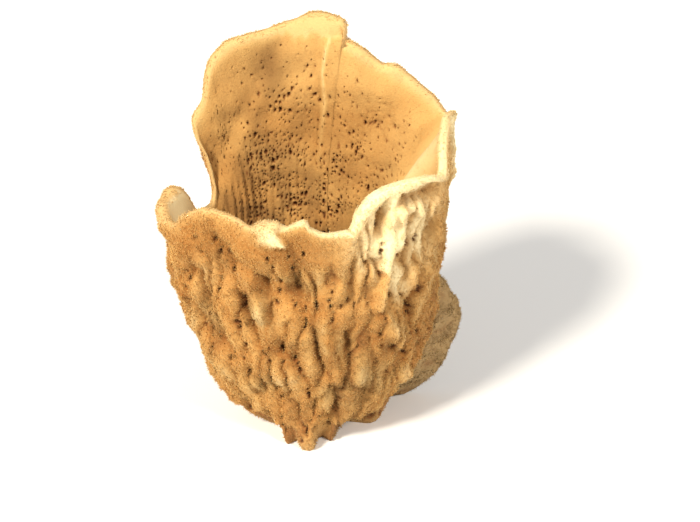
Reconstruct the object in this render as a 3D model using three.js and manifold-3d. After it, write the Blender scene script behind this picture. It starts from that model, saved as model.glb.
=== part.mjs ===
// A dried vase sponge: one hollow body that grew in one piece, cut off flat at its foot.
// The wall springs from a small flat base, swells to an oval waist and ends in a wavy rim
// that is low at the front and stands up as a tall fan at the back. A small second lobe,
// the ear, grows out of the lower right of the back. Lengths are millimetres, +Z is up,
// the open front of the cup faces -Y, and the origin lies on the flat cut.
import * as THREE from 'three';
import Module from 'manifold-3d';

// Where the body stands and how it swells.
const BASE_CENTRE = [2, -3];
const WAIST_HEIGHT = 100;
const WAIST_REACH = { right: 73, back: 47, left: 78, front: 60 };
// Height, and the share of the waist's reach that the body has gained there.
const SWELL = [
  [0, 0.47], [8, 0.54], [18, 0.66], [30, 0.77], [45, 0.87], [62, 0.93], [80, 0.97],
  [WAIST_HEIGHT, 1],
];

// The rim, once round from the front left: where each growth line leaves the waist, in
// degrees from +X, then the x, y and z of its end on the rim.
const RIM = [
  [197, -81, -28, 139], [203, -77, -32, 143], [209, -71, -36, 141], [215, -66, -40, 148],
  [225, -54, -47, 159], [234, -43, -52, 158], [242, -33, -58, 154], [249, -26, -61, 159],
  [257, -16, -63, 161], [267, -3, -63, 158], [277, 8, -62, 151], [287, 19, -60, 152],
  [296, 27, -57, 166], [307, 39, -52, 176], [319, 50, -44, 176], [331, 63, -37, 174],
  [345, 74, -20, 162], [358, 73, -3, 173], [369, 76, 11, 182], [377, 79, 19, 182],
  [384, 74, 29, 178], [392, 66, 36, 187], [406, 47, 43, 200], [420, 30, 47, 208],
  [430, 20, 49, 212], [436, 15, 52, 222], [443, 9, 53, 226], [452, 0, 53, 227],
  [471, -25, 51, 216], [485, -45, 45, 214], [492, -55, 40, 205], [499, -61, 35, 185],
  [504, -63, 32, 170], [509, -59, 30, 150], [514, -56, 28, 132], [519, -56, 26, 117],
  [525, -63, 21, 119], [531, -70, 13, 134], [537, -76, 5, 143], [546, -84, -11, 142],
];

// The wall.
const RIM_THICKNESS = 9;
const WAIST_THICKNESS = 13;
const FOLD = { azimuth: 436, spread: 10, extra: 4 };
const SHOULDER = { azimuth: 374, spread: 20, extra: 14, foot: 62, middle: 128 };
const CUP_FLOOR = 30;
const CUP_FLOOR_CURVE = 10;

// The ribs that run down the outside.
const COLUMNS_PER_RIB = 4;
const RIBS = 26;
const RIB_DEPTH = 1.6;

// The ear: its direction, and at each height how deep its root sits and how far it reaches.
const EAR_AZIMUTH = 16;
const EAR_HALF_THICKNESS = 6.5;
const EAR = [
  [9, 30, 60], [13, 34, 68], [22, 41, 75], [34, 47, 80], [46, 52, 84], [56, 55, 84],
  [65, 57, 80], [73, 58, 77], [80, 58, 74], [85, 59, 68],
];

const ROWS_ABOVE_WAIST = 6;
const COLUMNS = RIBS * COLUMNS_PER_RIB;
const SPONGE = { color: 0xd9a863, roughness: 0.95, metalness: 0 };

const radians = THREE.MathUtils.degToRad;
const { lerp, smoothstep } = THREE.MathUtils;

// Reads a table of [position, value] rows by straight lines between them.
function readTable(table, at) {
  const next = table.findIndex(([position]) => position >= at);
  if (next <= 0) return next === 0 ? table[0][1] : table[table.length - 1][1];
  const [[p0, v0], [p1, v1]] = [table[next - 1], table[next]];
  return lerp(v0, v1, (at - p0) / (p1 - p0));
}

// A smooth closed run of the rim's columns, evenly spread along the rim's length.
function rimColumns() {
  const turn = (point) => (point < RIM[0][0] ? point + 360 : point);
  const ends = new THREE.CatmullRomCurve3(
    RIM.map(([, x, y, z]) => new THREE.Vector3(x, y, z)), true, 'centripetal');
  return Array.from({ length: COLUMNS }, (_, column) => {
    const share = ends.getUtoTmapping(column / COLUMNS) * RIM.length;
    const from = Math.floor(share) % RIM.length;
    const to = (from + 1) % RIM.length;
    const along = share - Math.floor(share);
    const start = turn(RIM[from][0]);
    const end = to === 0 ? RIM[0][0] + 360 : turn(RIM[to][0]);
    const end3 = ends.getPointAt(column / COLUMNS);
    return { azimuth: lerp(start, end, along), x: end3.x, y: end3.y, z: end3.z };
  });
}

// The oval waist's point in a given direction: four quarter ellipses that meet squarely.
function waistPoint(azimuth) {
  const [c, s] = [Math.cos(radians(azimuth)), Math.sin(radians(azimuth))];
  const along = c > 0 ? WAIST_REACH.right : WAIST_REACH.left;
  const across = s > 0 ? WAIST_REACH.back : WAIST_REACH.front;
  const reach = 1 / Math.hypot(c / along, s / across);
  return [reach * c, reach * s];
}

// A growth line's outside at a height: the swelling body up to the waist, then a line that
// starts upright and leans out to its own end on the rim.
function growthLine(column, height) {
  const [wx, wy] = waistPoint(column.azimuth);
  if (height <= WAIST_HEIGHT) {
    const share = readTable(SWELL, height);
    return [lerp(BASE_CENTRE[0], wx, share), lerp(BASE_CENTRE[1], wy, share)];
  }
  const risen = (height - WAIST_HEIGHT) / (column.z - WAIST_HEIGHT);
  const lean = (risen * risen * (3 - risen)) / 2;
  return [lerp(wx, column.x, lean), lerp(wy, column.y, lean)];
}

// How far an azimuth lies inside a feature, from 0 at its edge to 1 at its middle.
function inside({ azimuth, spread }, at) {
  const away = Math.abs(((at - azimuth + 540) % 360) - 180);
  return smoothstep(spread - away, 0, spread);
}

function wallThickness(column, height) {
  const risen = smoothstep(height, WAIST_HEIGHT, column.z);
  const plain = lerp(WAIST_THICKNESS, RIM_THICKNESS, risen);
  const swell = Math.min(smoothstep(height, SHOULDER.foot, SHOULDER.middle),
    1 - smoothstep(height, SHOULDER.middle, column.z));
  const shoulder = SHOULDER.extra * inside(SHOULDER, column.azimuth) * swell;
  return plain + shoulder + FOLD.extra * inside(FOLD, column.azimuth) * risen;
}

// The level outward direction at each column of a ring of points.
function outward(ring) {
  return ring.map((_, i) => {
    const before = ring[(i + ring.length - 2) % ring.length];
    const after = ring[(i + 2) % ring.length];
    const run = new THREE.Vector2(after[0] - before[0], after[1] - before[1]).normalize();
    return [run.y, -run.x];
  });
}

// The level rings of the bare body, from the foot to the rim, as rows of [x, y, z].
function bodyRings(columns) {
  const below = SWELL.map(([height]) => columns.map(() => height));
  const above = Array.from({ length: ROWS_ABOVE_WAIST }, (_, row) =>
    columns.map(({ z }, i) => {
      const top = z - 0.4 * wallThickness(columns[i], z);
      return lerp(WAIST_HEIGHT, top, (row + 1) / ROWS_ABOVE_WAIST);
    }));
  return [...below, ...above].map((heights) =>
    heights.map((height, i) => [...growthLine(columns[i], height), height]));
}

// Moves every point of a ring inwards, by its own depth, and up.
function inset(ring, depths, rise = () => 0) {
  const normals = outward(ring);
  return ring.map(([x, y, z], i) =>
    [x - normals[i][0] * depths(i), y - normals[i][1] * depths(i), z + rise(i)]);
}

// The outside with its ribs, which fade out at the foot and under the rim.
function ribbedRings(rings, columns) {
  return rings.map((ring, row) => inset(ring, (i) => {
    const fade = row === 0 ? 0 : 1 - smoothstep(ring[i][2], WAIST_HEIGHT, columns[i].z);
    return RIB_DEPTH * fade * (1 - Math.cos((2 * Math.PI * i) / COLUMNS_PER_RIB)) / 2;
  }));
}

// The rounded rim: rings over its top, from the outside edge to the inside edge.
function rimRings(edge, columns) {
  const thick = (i) => wallThickness(columns[i], columns[i].z);
  return [[0.25, 0.34], [0.75, 0.34], [1, 0]].map(([across, up]) =>
    inset(edge, (i) => across * thick(i), (i) => up * thick(i)));
}

// The inside of the cup, from under the rim down to its dished floor.
function cupRings(rings, columns) {
  const walls = rings
    .slice(0, -1)
    .filter((ring) => ring[0][2] > CUP_FLOOR + CUP_FLOOR_CURVE / 2)
    .reverse()
    .map((ring) => inset(ring, (i) => wallThickness(columns[i], ring[i][2])));
  const last = walls[walls.length - 1];
  const [cx, cy] = BASE_CENTRE;
  const dish = [[0.88, 0.35], [0.55, 0]].map(([share, up]) =>
    last.map(([x, y]) =>
      [lerp(cx, x, share), lerp(cy, y, share), CUP_FLOOR + up * CUP_FLOOR_CURVE]));
  return [...walls, ...dish];
}

// Joins a run of equal rings into one closed skin, with a fan on each end.
function skin(rings, first, last) {
  const around = rings[0].length;
  const points = [first, ...rings.flat(), last];
  const faces = [];
  for (let i = 0; i < around; i++) {
    const next = (i + 1) % around;
    faces.push([0, 1 + next, 1 + i]);
    for (let row = 0; row + 1 < rings.length; row++) {
      const [low, high] = [1 + row * around, 1 + (row + 1) * around];
      faces.push([low + i, low + next, high + next], [low + i, high + next, high + i]);
    }
    const top = 1 + (rings.length - 1) * around;
    faces.push([top + i, top + next, points.length - 1]);
  }
  return { points, faces };
}

function cupSkin() {
  const columns = rimColumns();
  const body = bodyRings(columns);
  const edge = body[body.length - 1];
  const rings = [
    ...ribbedRings(body, columns), ...rimRings(edge, columns), ...cupRings(body, columns),
  ];
  return skin(rings, [...BASE_CENTRE, 0], [...BASE_CENTRE, CUP_FLOOR - 1]);
}

// One level section of the ear, a bar with a round nose, at its height.
function earSection([height, root, reach]) {
  const angle = radians(EAR_AZIMUTH);
  const half = EAR_HALF_THICKNESS;
  const place = (along, across) => [
    along * Math.cos(angle) - across * Math.sin(angle),
    along * Math.sin(angle) + across * Math.cos(angle),
    height,
  ];
  const nose = [-90, -60, -30, 0, 30, 60, 90].map((turn) =>
    place(reach - half + half * Math.cos(radians(turn)), half * Math.sin(radians(turn))));
  const middle = (root + reach) / 2;
  return [place(root, -half), place(middle, -half), ...nose, place(middle, half),
    place(root, half)];
}

function earSkin() {
  const sections = EAR.map(earSection);
  const centre = (ring) => ring
    .reduce((sum, point) => sum.map((value, axis) => value + point[axis]), [0, 0, 0])
    .map((value) => value / ring.length);
  return skin(sections, centre(sections[0]), centre(sections[sections.length - 1]));
}

const wasm = await Module();
wasm.setup();

function solid({ points, faces }) {
  return new wasm.Manifold(new wasm.Mesh({
    numProp: 3,
    vertProperties: new Float32Array(points.flat()),
    triVerts: new Uint32Array(faces.flat()),
  }));
}

function geometry(made) {
  const { vertProperties, triVerts } = made.getMesh();
  const shape = new THREE.BufferGeometry();
  shape.setAttribute('position', new THREE.BufferAttribute(vertProperties, 3));
  shape.setIndex(new THREE.BufferAttribute(triVerts, 1));
  return shape;
}

const sponge = new THREE.Mesh(
  geometry(solid(cupSkin()).add(solid(earSkin()))),
  new THREE.MeshStandardMaterial(SPONGE),
);
sponge.name = 'sponge';

const part = new THREE.Group();
part.add(sponge);

export default part;
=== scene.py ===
"""A dried vase sponge: one hollow body with ribs, pits, pores and a fuzz of fibres.

The body is one closed skin laid on a grid: columns go round the cup, rows run from the
middle of the flat cut, up the outside, over the rim, and down the inside to the floor of
the cup. Relief is added along the skin's normals, and the grid is then thinned to large
triangles where it is smooth and small ones where it is pitted. Lengths are millimetres
until the meshes are made.
"""
import math

import bpy
import numpy as np
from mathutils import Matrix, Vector


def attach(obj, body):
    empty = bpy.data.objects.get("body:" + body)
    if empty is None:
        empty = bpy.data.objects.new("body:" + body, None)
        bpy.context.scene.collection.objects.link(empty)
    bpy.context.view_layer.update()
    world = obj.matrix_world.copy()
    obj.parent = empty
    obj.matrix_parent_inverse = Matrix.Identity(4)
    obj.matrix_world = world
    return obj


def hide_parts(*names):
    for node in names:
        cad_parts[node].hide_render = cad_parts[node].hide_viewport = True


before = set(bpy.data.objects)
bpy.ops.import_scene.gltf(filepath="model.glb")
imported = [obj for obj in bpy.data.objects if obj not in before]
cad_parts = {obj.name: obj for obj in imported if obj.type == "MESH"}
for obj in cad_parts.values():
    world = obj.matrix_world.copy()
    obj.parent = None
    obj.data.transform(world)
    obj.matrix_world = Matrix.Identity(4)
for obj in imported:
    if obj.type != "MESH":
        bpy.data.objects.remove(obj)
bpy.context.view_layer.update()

MM = 0.001
SEED = 11

# ---- the body's plan and profile, as in the CAD solid ----
# The waist is a ring of four quarter ellipses, each with its own reach, and the foot is a
# share of that ring about the middle of the cut.
BASE_CENTRE = (2.0, -3.0)
WAIST_HEIGHT = 100.0
WAIST_RIGHT, WAIST_BACK, WAIST_LEFT, WAIST_FRONT = 73.0, 47.0, 78.0, 60.0
FOOT_SHARE = 0.47
SWELL_POWER = 2.3

# The rim, once round from the front left: the degrees from +X at which its growth line
# leaves the waist, the x, y and z of its end, and how thick the edge is there.
RIM = np.array([
    (197, -80, -28, 136, 8), (203, -77, -32, 141, 6), (209, -71, -36, 140, 5),
    (215, -66, -40, 148, 5), (221, -59, -44, 153, 5), (227, -53, -48, 156, 5),
    (233, -46, -51, 155, 5), (239, -39, -55, 154, 5), (245, -31, -59, 150, 5),
    (248, -28, -60, 151, 5), (252, -23, -61, 153, 5), (257, -16, -62, 153, 5),
    (261, -11, -63, 152, 5), (265, -7, -63, 154, 5), (269, -2, -63, 156, 5),
    (271, 1, -63, 152, 5), (277, 8, -62, 148, 5), (283, 15, -61, 148, 5),
    (288, 21, -60, 148, 6), (292, 25, -59, 149, 8), (296, 29, -57, 159, 9),
    (302, 35, -54, 165, 9), (308, 42, -50, 168, 8), (315, 49, -46, 169, 7),
    (322, 56, -42, 169, 6), (330, 62, -37, 168, 6), (338, 68, -30, 165, 6),
    (346, 74, -20, 161, 7), (352, 74, -10, 166, 6), (358, 73, -3, 172, 6),
    (364, 73, 4, 177, 6), (370, 74, 11, 181, 6), (376, 77, 18, 180, 6),
    (381, 79, 25, 177, 6), (385, 76, 30, 173, 6), (392, 70, 36, 181, 6),
    (399, 62, 40, 187, 6), (406, 55, 43, 192, 6), (411, 49, 44, 197, 6),
    (415, 45, 45, 197, 6), (419, 40, 46, 197, 6), (424, 34, 47, 202, 6),
    (429, 27, 48, 207, 7), (434, 21, 50, 210, 7), (437, 19, 51, 211, 7),
    (438, 19, 51.5, 220, 8), (441, 15, 53, 222, 8), (446, 8, 54, 224, 8),
    (452, 1, 54, 224, 7), (459, -6, 54, 220, 6), (467, -15, 53, 218, 6),
    (474, -23, 51, 215, 6), (480, -31, 49, 214, 6), (485, -38, 46, 213, 6),
    (489, -45, 43, 212, 6), (492, -50, 41, 208, 6), (495, -55, 39, 202, 6),
    (498, -57, 37, 195, 6), (500, -58, 35, 188, 5), (501.5, -59, 34, 180, 4),
    (502.5, -63, 34, 174, 4), (503.5, -65, 33, 169, 4), (505, -63, 32, 159, 4),
    (506.5, -59, 31, 151, 4), (508, -56, 30, 141, 4), (510.5, -53.5, 28, 127, 4),
    (513, -55.5, 26, 120, 5), (518, -62, 23, 117, 7), (524, -67, 20, 120, 8),
    (530, -72, 14, 131, 9), (534, -76, 8, 139, 10), (539, -79, 1, 143, 10),
    (544, -81, -7, 141, 9), (549, -82, -15, 141, 8), (553, -81, -21, 138, 8),
], float)

# The wall's thickness, which tapers over the last mm below an edge. An edge beside a
# column counts too, as one that lies EDGE_RISE mm higher for every mm it is away.
WAIST_THICKNESS, UPPER_THICKNESS, EDGE_TAPER, EDGE_RISE = 13.0, 9.0, 16.0, 2.0
EDGE_ROUNDING = 0.45  # how far a rounded edge bulges, as a share of its width

# The shoulder that thickens the inside of the right peak.
SHOULDER_DEGREES, SHOULDER_SPREAD, SHOULDER_EXTRA = 371.0, 20.0, 25.0
SHOULDER_FOOT, SHOULDER_TOP, SHOULDER_RIM_GAP = 84.0, 125.0, 44.0

CUP_FLOOR, FLOOR_ROUNDING = 30.0, 8.0

# Soft lumps and hollows of the whole wall: degrees and spread round the waist, height and
# spread up the wall, and how far out. The first is the strip behind the right peak, and the
# last four are undercuts at the foot.
SWELLINGS = (
    (373, 13, 146, 30, 9.0),
    (187, 20, 54, 26, -6.0),
    (206, 26, 150, 22, 2.0),
    (222, 24, 18, 16, -3.0),
    (205, 26, 0, 6, -7.0),
    (314, 15, 0, 7, -8.0),
    (60, 14, 0, 7, -4.0),
    (130, 20, 0, 6, -5.0),
)

# Blunt toes at the foot: degrees and half width round the waist, height and reach.
TOES = (
    (246, 8.0, 15, 11.0),
    (266, 9.0, 17, 12.5),
    (288, 7.0, 12, 7.0),
    (339, 8.5, 12, 6.0),
)

# The ear: the degrees where it springs, and at each height its reach from the axis.
EAR_DEGREES = 17.0
EAR_HALF_SPREAD = 5.5
EAR_HEIGHTS = (0, 3, 9, 15, 27, 36, 44, 51, 58, 64, 72, 80, 88)
EAR_REACHES = (56, 63, 72, 78, 83, 87, 89, 89, 87, 83, 79, 73, 60)

# ---- the grid ----
TILE = 256
COLUMN_TILES, ROW_TILES = 8, 5
COLUMNS, ROWS = COLUMN_TILES * TILE, ROW_TILES * TILE
EAR_COLUMN_SHARE = 0.09
BASE_ROWS, OUTER_ROWS, RIM_ROWS, INNER_ROWS = 24, 620, 44, 540
INNERMOST = 0.02  # the innermost ring, as a share of the outer one
BODY_TRIANGLES = 190000
PIT_WEIGHT, PALE_WEIGHT = 1.2, 0.4  # mm that a whole step of pit or pale counts as

rng = np.random.default_rng(SEED)


def smoothstep(value, low, high):
    share = np.clip((value - low) / (high - low), 0.0, 1.0)
    return share * share * (3.0 - 2.0 * share)


def mix(a, b, share):
    return a + (b - a) * share


def bell(value, middle, width):
    return np.exp(-((value - middle) / width) ** 2)


def turned_from(degrees, middle):
    """Degrees round the circle from the middle, -180 to 180: 370 and 10 are one place."""
    return (degrees - middle + 540.0) % 360.0 - 180.0


def turn_bell(degrees, middle, width):
    """A bell round the circle."""
    return bell(turned_from(degrees, middle), 0.0, width)


# ---- columns: one growth line each ----

def closed_spline(stations, fine=24):
    """A smooth closed run through the stations, whose first number is an azimuth that
    keeps growing, so the last step back to the start adds a whole turn."""
    count = len(stations)
    steps = np.arange(count * fine) / fine
    index = steps.astype(int)
    t = (steps - index)[:, None]

    def at(shift):
        wanted = index + shift
        points = stations[wanted % count].copy()
        points[:, 0] += 360.0 * (wanted // count)
        return points

    a, b, c, d = at(-1), at(0), at(1), at(2)
    return 0.5 * (2 * b + (c - a) * t + (2 * a - 5 * b + 4 * c - d) * t ** 2
                  + (3 * b - a - 3 * c + d) * t ** 3)


def growth_columns():
    """Every column's waist azimuth, the rim end's x, y and z, and the edge's thickness.
    Columns are even along the rim, but the ear's own share crowds into its degrees."""
    run = closed_spline(RIM)
    closed = np.vstack([run, run[:1]])
    closed[-1, 0] += 360.0
    steps = np.linalg.norm(np.diff(closed[:, 1:4], axis=0), axis=1)
    length = np.r_[0.0, np.cumsum(steps)]
    ear_from = np.interp(EAR_DEGREES + 360 - EAR_HALF_SPREAD, closed[:, 0], length)
    ear_to = np.interp(EAR_DEGREES + 360 + EAR_HALF_SPREAD, closed[:, 0], length)
    rest = (1.0 - EAR_COLUMN_SHARE) / (length[-1] - (ear_to - ear_from))
    shares = (0.0, ear_from * rest, ear_from * rest + EAR_COLUMN_SHARE, 1.0)
    spots = np.interp(np.arange(COLUMNS) / COLUMNS, shares,
                      (0.0, ear_from, ear_to, length[-1]))
    return [np.interp(spots, length, closed[:, axis]) for axis in range(5)]


AZIMUTH, RIM_X, RIM_Y, RIM_Z, RIM_THICKNESS = growth_columns()


def waist_point(degrees):
    c, s = np.cos(np.radians(degrees)), np.sin(np.radians(degrees))
    along = np.where(c > 0, WAIST_RIGHT, WAIST_LEFT)
    across = np.where(s > 0, WAIST_BACK, WAIST_FRONT)
    reach = 1.0 / np.hypot(c / along, s / across)
    return reach * c, reach * s


def round_blur(values, columns):
    """Smooths along the last axis, which closes on itself, over so many columns."""
    reach = np.fft.fftfreq(values.shape[-1])
    keep = np.exp(-2.0 * (np.pi * columns * reach) ** 2)
    return np.fft.ifft(np.fft.fft(values, axis=-1) * keep, axis=-1).real


def waist_outward():
    """The level direction square to the waist at each column, as (columns, 3)."""
    x, y = waist_point(AZIMUTH)
    along = np.where(x > 0, WAIST_RIGHT, WAIST_LEFT)
    across = np.where(y > 0, WAIST_BACK, WAIST_FRONT)
    out = np.stack([x / along ** 2, y / across ** 2, np.zeros(COLUMNS)], -1)
    return out / np.linalg.norm(out, axis=-1, keepdims=True)


OUTWARD = waist_outward()


def wall_line(height):
    """The bare outside's x and y at a height, for an array whose last axis is columns."""
    waist_x, waist_y = waist_point(AZIMUTH)
    left = np.clip(1.0 - height / WAIST_HEIGHT, 0.0, 1.0)
    share = mix(1.0, FOOT_SHARE, left ** SWELL_POWER)
    risen = np.clip((height - WAIST_HEIGHT) / (RIM_Z - WAIST_HEIGHT), 0.0, 1.0)
    lean = risen ** 2 * (3.0 - risen) / 2.0
    x = mix(mix(BASE_CENTRE[0], waist_x, share), RIM_X, lean)
    y = mix(mix(BASE_CENTRE[1], waist_y, share), RIM_Y, lean)
    for degrees, spread, middle, spread_up, out in SWELLINGS:
        lump = out * turn_bell(AZIMUTH, degrees, spread) * bell(height, middle, spread_up)
        x, y = x + OUTWARD[:, 0] * lump, y + OUTWARD[:, 1] * lump
    for degrees, half_width, tall, reach in TOES:
        away = np.abs(turned_from(AZIMUTH, degrees) / half_width)
        toe = reach * np.exp(-away ** 3) * bell(height, 0.0, tall)
        x, y = x + OUTWARD[:, 0] * toe, y + OUTWARD[:, 1] * toe
    return x, y


def rim_within_reach():
    """At each column, the height at which the nearest edge is felt: its own rim, or a
    lower stretch of rim beside it plus a rise for every mm that stretch is away."""
    x, y = waist_point(AZIMUTH)
    apart = np.hypot(x[:, None] - x, y[:, None] - y)
    return np.min(RIM_Z + EDGE_RISE * apart, axis=1)


def wall_thickness(height):
    """How thick the wall is at a height, for an array whose last axis is columns."""
    risen = smoothstep(height, WAIST_HEIGHT, RIM_Z)
    shoulder = SHOULDER_EXTRA * turn_bell(AZIMUTH, SHOULDER_DEGREES, SHOULDER_SPREAD)
    shoulder = shoulder * smoothstep(height, SHOULDER_FOOT, SHOULDER_TOP)
    shoulder = shoulder * smoothstep(RIM_Z - height, 0.0, SHOULDER_RIM_GAP)
    edge = smoothstep(height, RIM_NEAR - EDGE_TAPER, RIM_NEAR)
    body = mix(WAIST_THICKNESS, UPPER_THICKNESS, risen) + shoulder
    return mix(body, RIM_THICKNESS, edge)


RIM_NEAR = rim_within_reach()
RIM_BLURRED = round_blur(RIM_Z, 34.0)  # the colours follow this, without its jumps


# ---- rows: the bare skin ----

def bare_skin():
    """The smooth skin as (rows + 1, columns, 3), and the first row of each zone: the
    outside, the edge, the inside and the cup's floor. Row 0 is in the flat cut."""
    bulge = EDGE_ROUNDING * RIM_THICKNESS
    edge_z = RIM_Z - bulge
    heights = np.linspace(0.0, 1.0, OUTER_ROWS)[:, None] ** 1.06 * edge_z
    x, y = wall_line(heights)
    outer = np.stack(np.broadcast_arrays(x, y, heights), -1)

    turn = np.linspace(0.0, math.pi, RIM_ROWS + 2)[1:-1, None, None]
    across = RIM_THICKNESS[:, None] * (1.0 - np.cos(turn)) / 2.0
    rim = outer[-1] - OUTWARD * across + edge_top(outer[-1]) * bulge[:, None] * np.sin(turn)

    down = np.linspace(1.0, 0.0, INNER_ROWS)[:, None]
    inner_z = mix(CUP_FLOOR + FLOOR_ROUNDING, edge_z, down)
    x, y = wall_line(inner_z)
    depth = wall_thickness(inner_z + bulge * down)
    inner = np.stack(np.broadcast_arrays(x, y, inner_z), -1) - OUTWARD * depth[..., None]

    floor_rows = ROWS + 1 - BASE_ROWS - OUTER_ROWS - RIM_ROWS - INNER_ROWS
    bend = np.linspace(0.0, math.pi / 2, floor_rows + 1)[1:, None]
    share = np.maximum(np.cos(bend), INNERMOST)
    floor = np.stack(np.broadcast_arrays(
        mix(BASE_CENTRE[0], inner[-1, :, 0], share),
        mix(BASE_CENTRE[1], inner[-1, :, 1], share),
        CUP_FLOOR + FLOOR_ROUNDING * (1.0 - np.sin(bend))), -1)

    skin = np.concatenate([flat_cut(outer[0]), outer, rim, inner, floor])
    starts = np.cumsum([BASE_ROWS, OUTER_ROWS, RIM_ROWS, INNER_ROWS])
    return skin, starts


def flat_cut(line):
    """Rings of the cut, from its middle out towards the foot's line, all at height 0."""
    spread = np.linspace(INNERMOST, 1.0, BASE_ROWS, endpoint=False)[:, None]
    return np.stack([mix(BASE_CENTRE[0], line[:, 0], spread),
                     mix(BASE_CENTRE[1], line[:, 1], spread),
                     np.zeros((BASE_ROWS, COLUMNS))], -1)


def edge_top(line):
    """The way the rounded edge bulges at each column: up, where the rim is level, and
    along the wall where the rim stands steep."""
    run = np.roll(line, -1, 0) - np.roll(line, 1, 0)
    run = np.stack([round_blur(run[:, axis], 3.0) for axis in range(3)], -1)
    top = np.cross(OUTWARD, run)
    top /= np.linalg.norm(top, axis=-1, keepdims=True)
    return top * (0.5 + 0.5 * np.abs(top[:, 2:]))


def grow_ear(skin, starts):
    """Pulls the ear's columns of the outside into a lobe: out along one face, round its
    nose and back along the other. Returns how much of the ear is at each point."""
    along = (AZIMUTH - EAR_DEGREES - 360.0) / EAR_HALF_SPREAD
    in_ear = np.clip(1.0 - np.abs(along), 0.0, 1.0)
    rows = slice(starts[0], starts[1])
    wall = skin[rows]
    height = wall[..., 2]
    reach = np.interp(height, EAR_HEIGHTS, EAR_REACHES, right=0.0)
    wall_reach = np.hypot(wall[..., 0], wall[..., 1])
    stick = np.maximum(reach - wall_reach, 0.0) * (in_ear > 0)
    nose = np.sqrt(np.clip(1.0 - (1.0 - np.clip(in_ear / 0.42, 0, 1)) ** 2, 0.0, 1.0))
    face = np.clip(in_ear / 0.8, 0.0, 1.0)
    out = stick * mix(nose, face, 0.75)
    angle = math.radians(EAR_DEGREES)
    wall[..., 0] += out * math.cos(angle)
    wall[..., 1] += out * math.sin(angle)
    ear = np.zeros(skin.shape[:2])
    ear[rows] = smoothstep(stick, 0.5, 6.0) * smoothstep(in_ear, 0.02, 0.2)
    return ear


def skin_normals(skin):
    run = np.roll(skin, -1, 1) - np.roll(skin, 1, 1)
    rise = np.gradient(skin, axis=0)
    normals = np.cross(run, rise)
    return normals / np.maximum(np.linalg.norm(normals, axis=-1, keepdims=True), 1e-9)


# ---- noise on a cloth wrapped round the wall ----
CLOTH_WIDE, CLOTH_HIGH = 1536, 960
WAIST_LENGTH, WALL_LENGTH = 408.0, 256.0  # what the cloth measures, in mm


def grown_noise(across, up, narrow=0.35):
    """Bell-spread noise that repeats about every `across` mm round the wall and `up` mm
    along it: long `up` gives ribs, equal ones give knobs. It closes round the wall."""
    white = rng.standard_normal((CLOTH_HIGH, CLOTH_WIDE))
    wave_round = np.abs(np.fft.fftfreq(CLOTH_WIDE, WAIST_LENGTH / CLOTH_WIDE))
    wave_up = np.abs(np.fft.fftfreq(CLOTH_HIGH, WALL_LENGTH / CLOTH_HIGH))[:, None]
    ring = np.hypot(wave_round * across, wave_up * up)
    keep = np.exp(-((ring - 1.0) / narrow) ** 2)
    if up > 2.5 * across:
        keep = keep * (np.exp(-(wave_up * up / 0.7) ** 2) + 0.05)
    noise = np.fft.ifft2(np.fft.fft2(white) * keep).real
    return noise / noise.std()


def laid(cloth, around, along):
    """The cloth's value at each place, given as mm round the waist and mm up the wall."""
    column = around / WAIST_LENGTH * CLOTH_WIDE
    row = np.clip(along / WALL_LENGTH * CLOTH_HIGH, 0, CLOTH_HIGH - 1.001)
    c0, r0 = np.floor(column).astype(int), np.floor(row).astype(int)
    fc, fr = column - c0, row - r0
    c0, c1 = c0 % CLOTH_WIDE, (c0 + 1) % CLOTH_WIDE
    low = mix(cloth[r0, c0], cloth[r0, c1], fc)
    high = mix(cloth[r0 + 1, c0], cloth[r0 + 1, c1], fc)
    return mix(low, high, fr)


def share_of(noise):
    """Bell-spread noise squeezed into 0 to 1."""
    return 1.0 / (1.0 + np.exp(-1.7 * noise))


def waist_run(degrees):
    """Millimetres round the waist at each azimuth, over one whole length of the cloth."""
    fine = np.linspace(AZIMUTH[0], AZIMUTH[0] + 360.0, 2000)
    x, y = waist_point(fine)
    length = np.r_[0.0, np.cumsum(np.hypot(np.diff(x), np.diff(y)))]
    return np.interp(degrees, fine, length) * WAIST_LENGTH / length[-1]


AROUND = waist_run(AZIMUTH)


def stroke(around, along, spots, width):
    """A soft line through the spots, 1 along its middle, on the (around, along) plane."""
    best = np.full(around.shape, 1e9)
    for (a0, u0), (a1, u1) in zip(spots[:-1], spots[1:]):
        da, du = a1 - a0, u1 - u0
        t = np.clip(((around - a0) * da + (along - u0) * du) / (da * da + du * du), 0, 1)
        best = np.minimum(best, np.hypot(around - a0 - t * da, along - u0 - t * du))
    return np.exp(-(best / width) ** 2)


def spot_at(wall, x, z, side):
    """The (mm round, mm up) of the front or the back of a wall at an x and a height."""
    other_side = (wall[..., 1] > 0) if side == "front" else (wall[..., 1] < 0)
    miss = np.hypot(wall[..., 0] - x, wall[..., 2] - z) + 1e3 * other_side
    row, column = np.unravel_index(np.argmin(miss), miss.shape)
    return AROUND[column], wall[row, column, 2]


def press_dimples(wall, around, up, radius, depth, tall, window):
    """Round-mouthed pits over a zone of the skin, each pressed in where its spot falls.
    They are `tall` times as high as wide, and reach at most `window` grid steps."""
    pressed = np.zeros(wall.shape[:2])
    column = np.searchsorted(AROUND, around) % COLUMNS
    row = np.argmin(np.abs(wall[:, column, 2] - up), axis=0)
    wide = np.linalg.norm(wall - np.roll(wall, 1, 1), axis=-1)[row, column]
    high = np.linalg.norm(np.diff(wall, axis=0), axis=-1)[
        np.minimum(row, len(wall) - 2), column]
    off_row, off_column = rng.uniform(-0.5, 0.5, (2, row.size))
    for down in range(-window, window + 1):
        for over in range(-window, window + 1):
            far = np.hypot((over - off_column) * wide,
                           (down - off_row) * high / tall) / radius
            near = (far < 1.0) & (row + down >= 0) & (row + down < len(wall))
            spot = ((row + down)[near], ((column + over) % COLUMNS)[near])
            np.minimum.at(pressed, spot, -(depth * (1.0 - far ** 2.2))[near])
    return pressed


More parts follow.
